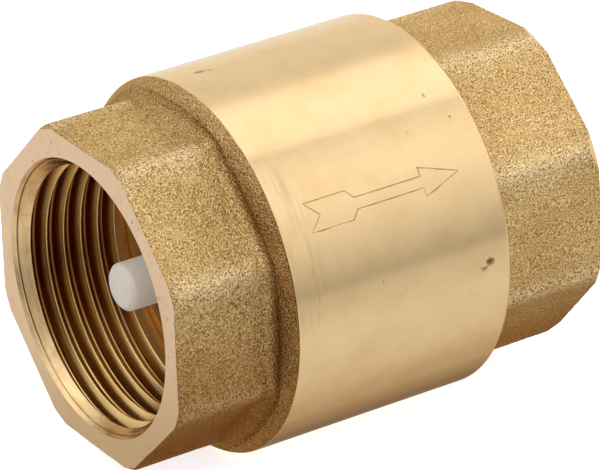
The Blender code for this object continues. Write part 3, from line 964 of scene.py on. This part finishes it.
def make_outlet_guide():
    rim = [(30.6, 11.2), (30.6, 12.4), (30.9, 12.7), (33.0, 12.7), (33.0, 11.2)]
    hub = [
        (28.0, 2.55),
        (28.0, 3.4),
        (28.4, 3.8),
        (30.6, 3.8),
        (30.6, 6.8),
        (31.6, 6.8),
        (32.0, 4.2),
        (33.6, 3.8),
        (33.6, 2.55),
    ]
    guide = revolved("outlet_guide_rim", rim, 0.25, ACETAL)
    return with_hub("acetal_outlet_guide", guide, hub, 4, math.pi / 4, (3.4, 11.6, 30.8, 32.8))


def with_hub(name, guide, hub, spokes, first_angle, span):
    """Joins a hub and spokes to a guide's rim."""
    centre = revolved(f"{name}_hub", hub, 0.25, ACETAL)
    joined = bmesh.new()
    joined.from_mesh(guide.data)
    joined.from_mesh(centre.data)
    joined.to_mesh(guide.data)
    joined.free()
    bpy.data.objects.remove(centre)
    guide.name = name
    add_spokes(guide, spokes, first_angle, *span)
    return guide


def make_poppet():
    stem = [(3.4, 0.0), (3.4, 1.85), (3.8, 2.25), (16.8, 2.25), (16.8, 4.4), (19.3, 4.4), (19.3, 12.2)]
    disc = [(20.1, 12.2), (20.6, 11.7), (20.6, 3.6)]
    tail = [(23.0, 3.3), (23.0, 2.25), (32.1, 2.25), (32.6, 1.75), (32.6, 0.0)]
    return revolved("acetal_poppet", stem + disc + tail, 0.16, ACETAL)


def make_seal_retainer():
    profile = [(15.7, 2.55), (15.7, 7.8), (16.3, 8.4), (17.1, 8.4), (17.1, 4.7), (16.5, 4.7), (16.5, 2.55)]
    return revolved("acetal_seal_retainer", profile, 0.25, ACETAL)


def make_seal_ring():
    profile = [(17.4, 4.7), (17.4, 11.3), (17.7, 11.6), (19.0, 11.6), (19.0, 4.7)]
    return revolved("nitrile_seal_ring", profile, 0.2, RUBBER)


def make_joint_o_ring():
    skin = Skin()
    for angle in even_angles(20):
        x = O_RING_PLACE + O_RING_WIRE * math.cos(angle)
        r = O_RING_RADIUS - O_RING_WIRE * math.sin(angle)
        skin.lay(x, r, even_angles(160), RUBBER)
    return skin.build("nitrile_joint_o_ring", [RUBBER])


def coil_place(turns):
    """The wire's centre after so many turns: the end turns lie nearly closed, the rest are open."""
    closed_rise = 2 * WIRE_RADIUS + 0.12 * MM
    bottom, top = SPRING_START + WIRE_RADIUS, SPRING_END - WIRE_RADIUS
    x = np.interp(
        turns,
        [0.0, 1.0, SPRING_TURNS - 1, SPRING_TURNS],
        [bottom, bottom + closed_rise, top - closed_rise, top],
    )
    return np.stack([x, COIL_RADIUS * np.cos(TURN * turns), COIL_RADIUS * np.sin(TURN * turns)], axis=1)


def make_spring():
    turns = np.linspace(0.0, SPRING_TURNS, int(SPRING_TURNS * COIL_STEPS) + 1)
    sides = WIRE_SIDES
    centre = coil_place(turns)
    along = np.gradient(centre, axis=0)
    along /= np.linalg.norm(along, axis=1)[:, None]
    out = centre * (0.0, 1.0, 1.0) / COIL_RADIUS
    across = np.cross(along, out)
    a = even_angles(sides)[None, :, None]
    points = centre[:, None] + WIRE_RADIUS * (np.cos(a) * out[:, None] + np.sin(a) * across[:, None])
    faces = []
    for i in range(len(turns) - 1):
        for k in range(sides):
            after = (k + 1) % sides
            faces.append((i * sides + k, i * sides + after, (i + 1) * sides + after, (i + 1) * sides + k))
    last = (len(turns) - 1) * sides
    faces.append(tuple(range(sides))[::-1])
    faces.append(tuple(range(last, last + sides)))
    mesh = bpy.data.meshes.new("steel_spring")
    mesh.from_pydata(points.reshape(-1, 3).tolist(), [], faces)
    if signed_volume(mesh) < 0:
        mesh.flip_normals()
    mesh.shade_smooth()
    mesh.polygons[-1].use_smooth = False
    mesh.polygons[-2].use_smooth = False
    return add_object("steel_spring", mesh, [STEEL])


INNER_PIECES = [
    (make_inlet_guide, "inlet_guide", BODY, "white_acetal"),
    (make_outlet_guide, "outlet_guide", BODY, "white_acetal"),
    (make_joint_o_ring, "joint_o_ring", BODY, "nitrile_rubber"),
    (make_poppet, "poppet", "poppet", "white_acetal"),
    (make_seal_retainer, "seal_retainer", "poppet", "white_acetal"),
    (make_seal_ring, "seal_ring", "poppet", "nitrile_rubber"),
    (make_spring, "spring", BODY, "stainless_steel"),
]
for make, node, body, slot in INNER_PIECES:
    piece = make()
    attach(piece, body)
    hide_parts(node)
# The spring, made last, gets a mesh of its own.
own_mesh(piece)


# ---------------------------------------------------------------- studio

CAMERA_PLACE = Vector((-0.21449, -0.37049, 0.21955))
CAMERA_LOOK = Vector((0.48240, 0.75317, -0.44724))
CAMERA_RIGHT = Vector((0.83372, -0.55141, -0.02931))
CAMERA_LENS = 322.8
FLOOR = -BARREL_RADIUS

# Brightness round the flow axis, as (degrees from +Y towards +Z, level), for what the brass mirrors.
STUDIO_BANDS = [
    (0, 1.02),
    (22, 0.98),
    (48, 0.94),
    (55, 1.05),
    (62, 1.42),
    (80, 1.55),
    (98, 1.42),
    (101, 1.02),
    (108, 1.18),
    (122, 1.30),
    (137, 1.26),
    (162, 0.97),
    (178, 0.72),
    (188, 0.55),
    (192, 0.74),
    (204, 0.86),
    (216, 0.94),
    (232, 0.88),
    (248, 0.84),
    (264, 0.66),
    (272, 0.60),
    (284, 0.54),
    (295, 0.80),
    (304, 1.00),
    (322, 1.00),
]
# The low part of the studio, from one angle to the other, is this much warmer.
WARM_FROM = 236
WARM_TO = 284
WARM_END = 318
WARMTH = (1.0, 0.84, 0.66)

# The studio's colours are divided by this, to stay under 1, and its strength is multiplied by it.
LEVEL_TOP = 2.0

# The side that the inlet faces is darker: (share of the way from -X to +X, level).
SIDE_BANDS = [(0.0, 0.06), (0.06, 0.12), (0.12, 0.42), (0.165, 0.52), (0.21, 0.76), (0.26, 1.0)]

# The ceiling over the inlet's side lightens this way, between these cosines.
CEILING_TOWARDS = (0.0, 0.5, 0.866)
CEILING_FROM = 0.25
CEILING_TO = 0.80

# Dark patches: direction, the cosines between which each sets in, and its colour.
PATCHES = [
    ((0.48, 0.587, -0.652), 0.885, 0.995, (0.26, 0.225, 0.19)),
    ((-0.08, 0.930, 0.350), 0.89, 0.96, (0.46, 0.37, 0.26)),
]


def make_floor():
    bpy.ops.mesh.primitive_plane_add(size=6.0, location=(0.0, 0.0, FLOOR))
    floor = bpy.context.active_object
    floor.name = "floor"
    finish = Finish("floor", (0.93, 0.93, 0.93), 0.9, 0.0)
    finish.shade(Specular_IOR_Level=0.0, Emission_Color=(1.0, 1.0, 1.0), Emission_Strength=0.75)
    floor.data.materials.append(finish.material)
    floor.visible_glossy = False
    floor.visible_diffuse = False


def band_colour(degrees, level):
    """The studio's colour at an angle: grey, and warm low down."""
    warm = np.interp(degrees, [WARM_FROM, WARM_TO, WARM_END, WARM_END + 1], [0.0, 1.0, 1.0, 0.0])
    return level / LEVEL_TOP * (1 - warm + warm * np.array(WARMTH))


def make_world():
    """What the brass mirrors, from every side. The camera itself sees white."""
    world = bpy.data.worlds.new("studio")
    bpy.context.scene.world = world
    world.use_nodes = True
    world.node_tree.nodes.clear()
    sky = Wiring(world.node_tree)
    direction = sky.node("ShaderNodeTexCoord").outputs["Generated"]
    x, y, z = sky.split(direction)
    turned = sky.math("FRACT", sky.math("DIVIDE", sky.math("ARCTAN2", z, y), TURN))
    bands = [(degrees / 360, band_colour(degrees, level)) for degrees, level in STUDIO_BANDS]
    colour = sky.ramp(turned, bands)
    for middle, clear, dark, tint in PATCHES:
        share = sky.between(sky.dot(direction, middle), clear, dark)
        colour = sky.mix(share, colour, tint, "MULTIPLY")
    side = sky.ramp(sky.between(x, -1.0, 1.0), SIDE_BANDS)
    ceiling = sky.between(sky.dot(direction, CEILING_TOWARDS), CEILING_FROM, CEILING_TO)
    level = sky.math("MULTIPLY", sky.spread(ceiling, side, 1.0), LEVEL_TOP)
    studio = sky.node("ShaderNodeBackground", Strength=level, Color=colour)
    white = sky.node("ShaderNodeBackground", Color=(1.0, 1.0, 1.0))
    seen = sky.node("ShaderNodeLightPath").outputs["Is Camera Ray"]
    mixed = sky.node("ShaderNodeMixShader", Fac=seen)
    sky.feed(mixed.inputs[1], studio.outputs["Background"])
    sky.feed(mixed.inputs[2], white.outputs["Background"])
    sky.node("ShaderNodeOutputWorld", Surface=mixed.outputs["Shader"])


def make_light(name, place, target, size, power):
    lamp = bpy.data.lights.new(name, "AREA")
    lamp.shape = "RECTANGLE"
    lamp.size, lamp.size_y = size
    lamp.energy = power
    light = bpy.data.objects.new(name, lamp)
    light.location = place
    light.rotation_euler = (Vector(target) - Vector(place)).to_track_quat("-Z", "Y").to_euler()
    light.visible_glossy = False
    light.visible_camera = False
    bpy.context.scene.collection.objects.link(light)


def make_camera():
    lens = bpy.data.cameras.new("camera")
    lens.lens = CAMERA_LENS
    lens.sensor_width = 36.0
    lens.clip_end = 20.0
    camera = bpy.data.objects.new("camera", lens)
    back = -CAMERA_LOOK.normalized()
    right = (CAMERA_RIGHT - CAMERA_RIGHT.dot(back) * back).normalized()
    up = back.cross(right)
    turned = Matrix((right, up, back)).transposed().to_4x4()
    camera.matrix_world = Matrix.Translation(CAMERA_PLACE) @ turned
    bpy.context.scene.collection.objects.link(camera)
    bpy.context.scene.camera = camera


make_floor()
make_world()
make_light("key", (-0.35, -0.35, 0.9), (0.02, 0.0, 0.0), (0.6, 0.6), 3.0)
make_camera()
bpy.context.scene.view_settings.view_transform = "Standard"
